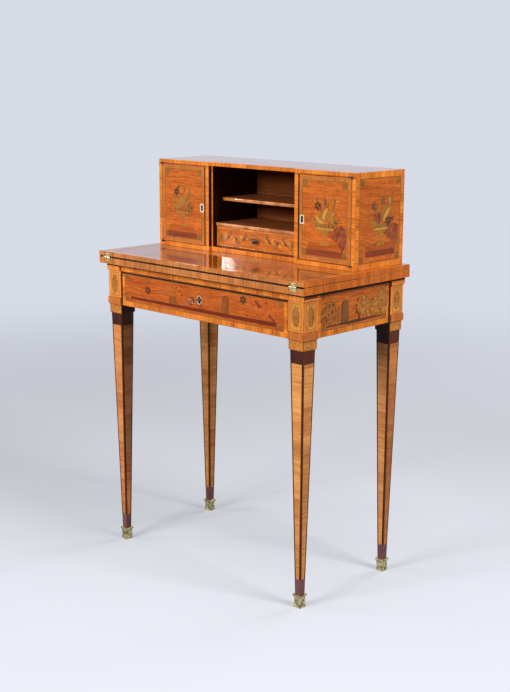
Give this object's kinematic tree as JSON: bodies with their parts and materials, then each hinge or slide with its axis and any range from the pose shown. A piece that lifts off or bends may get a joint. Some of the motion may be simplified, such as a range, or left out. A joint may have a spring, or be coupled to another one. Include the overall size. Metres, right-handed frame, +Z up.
{
  "type": "fold-top writing desk with cabinet (bonheur du jour)",
  "caption": "Small marquetry lady's writing desk on tapered legs with brass shoes, a folding leaf, a frieze drawer with its key and an upper cabinet with doors",
  "frame": {"origin": "middle of the bounding box on the floor", "axes": "X to the right along the front, Y from the front to the back, Z up"},
  "size_m": [0.692, 0.395, 0.992],
  "materials": {
    "veneered_wood": "French-polished orange-brown veneer with banding, stringing and traditional marquetry",
    "banded_wood": "polished cross-grain veneer with dark stringing and dark bands",
    "carcass_wood": "plain waxed secondary wood",
    "aged_brass": "dull aged brass",
    "lock_steel": "worn grey steel",
    "writing_leather": "dark brown writing leather",
    "bone": "polished cream bone"
  },
  "bodies": {
    "desk": {"leg_front_left": "banded_wood", "leg_front_right": "banded_wood", "leg_back_left": "banded_wood", "leg_back_right": "banded_wood", "sabots": "aged_brass", "side_apron_left": "veneered_wood", "side_apron_right": "veneered_wood", "back_apron": "veneered_wood", "front_top_rail": "veneered_wood", "drawer_runners": "carcass_wood", "drawer_guides": "carcass_wood", "drawer_kickers": "carcass_wood", "wood_screws": "lock_steel", "lower_top_board": "veneered_wood", "rear_top_board": "veneered_wood", "lower_leather": "writing_leather", "leaf_hinge_lower_plates": "aged_brass", "leaf_hinge_pins": "aged_brass", "leaf_hinge_lower_screws": "aged_brass", "cabinet_top": "veneered_wood", "cabinet_bottom": "veneered_wood", "cabinet_left_side": "veneered_wood", "cabinet_right_side": "veneered_wood", "cabinet_left_partition": "carcass_wood", "cabinet_right_partition": "carcass_wood", "cabinet_back": "carcass_wood", "centre_left_lining": "carcass_wood", "centre_right_lining": "carcass_wood", "upper_shelf": "carcass_wood", "drawer_deck": "carcass_wood", "cabinet_pivot_plates": "aged_brass"},
    "leaf": {"writing_leaf": "veneered_wood", "leaf_leather": "writing_leather", "leaf_hinge_upper_plates": "aged_brass", "leaf_hinge_upper_screws": "aged_brass"},
    "frieze_drawer": {"frieze_drawer_front": "veneered_wood", "frieze_drawer_left_side": "carcass_wood", "frieze_drawer_right_side": "carcass_wood", "frieze_drawer_back": "carcass_wood", "frieze_drawer_bottom": "carcass_wood", "drawer_lock_case": "aged_brass", "drawer_escutcheon": "aged_brass"},
    "lock_bolt": {"drawer_lock_bolt": "lock_steel"},
    "lock_key": {"key": "lock_steel"},
    "door_left": {"left_door": "veneered_wood", "left_door_pivot_plates": "aged_brass", "left_door_escutcheon": "bone", "left_door_lock": "aged_brass"},
    "door_left_bolt": {"left_door_bolt": "lock_steel"},
    "door_right": {"right_door": "veneered_wood", "right_door_pivot_plates": "aged_brass", "right_door_escutcheon": "bone", "right_door_lock": "aged_brass"},
    "door_right_bolt": {"right_door_bolt": "lock_steel"},
    "small_drawer": {"small_drawer_front": "veneered_wood", "small_drawer_left_side": "carcass_wood", "small_drawer_right_side": "carcass_wood", "small_drawer_back": "carcass_wood", "small_drawer_bottom": "carcass_wood", "small_drawer_knob": "aged_brass"}
  },
  "joints": [
    {"name": "leaf_fold", "type": "hinge", "parent": "desk", "child": "leaf", "pos_m": [0, -0.1768, 0.7565], "axis": [1, 0, 0], "range_deg": [0, 180]},
    {"name": "frieze_drawer_slide", "type": "slide", "parent": "desk", "child": "frieze_drawer", "axis": [0, -1, 0], "range_m": [0, 0.22]},
    {"name": "key_turn", "type": "hinge", "parent": "frieze_drawer", "child": "lock_key", "pos_m": [0, -0.157, 0.686], "axis": [0, 1, 0], "range_deg": [0, 180]},
    {"name": "lock_bolt_slide", "type": "slide", "parent": "frieze_drawer", "child": "lock_bolt", "axis": [0, 0, 1], "range_m": [0, 0.008]},
    {"name": "left_door_swing", "type": "hinge", "parent": "desk", "child": "door_left", "pos_m": [-0.3176, 0.0104, 0.876], "axis": [0, 0, -1], "range_deg": [0, 110]},
    {"name": "right_door_swing", "type": "hinge", "parent": "desk", "child": "door_right", "pos_m": [0.3176, 0.0104, 0.876], "axis": [0, 0, 1], "range_deg": [0, 110]},
    {"name": "left_door_bolt_slide", "type": "slide", "parent": "door_left", "child": "door_left_bolt", "axis": [1, 0, 0], "range_m": [0, 0.005]},
    {"name": "right_door_bolt_slide", "type": "slide", "parent": "door_right", "child": "door_right_bolt", "axis": [-1, 0, 0], "range_m": [0, 0.005]},
    {"name": "small_drawer_slide", "type": "slide", "parent": "desk", "child": "small_drawer", "axis": [0, -1, 0], "range_m": [0, 0.1]}
  ],
  "couplings": [
    {"joint": "lock_bolt_slide", "follows": "key_turn", "m_per_rad": 0.002546}
  ]
}
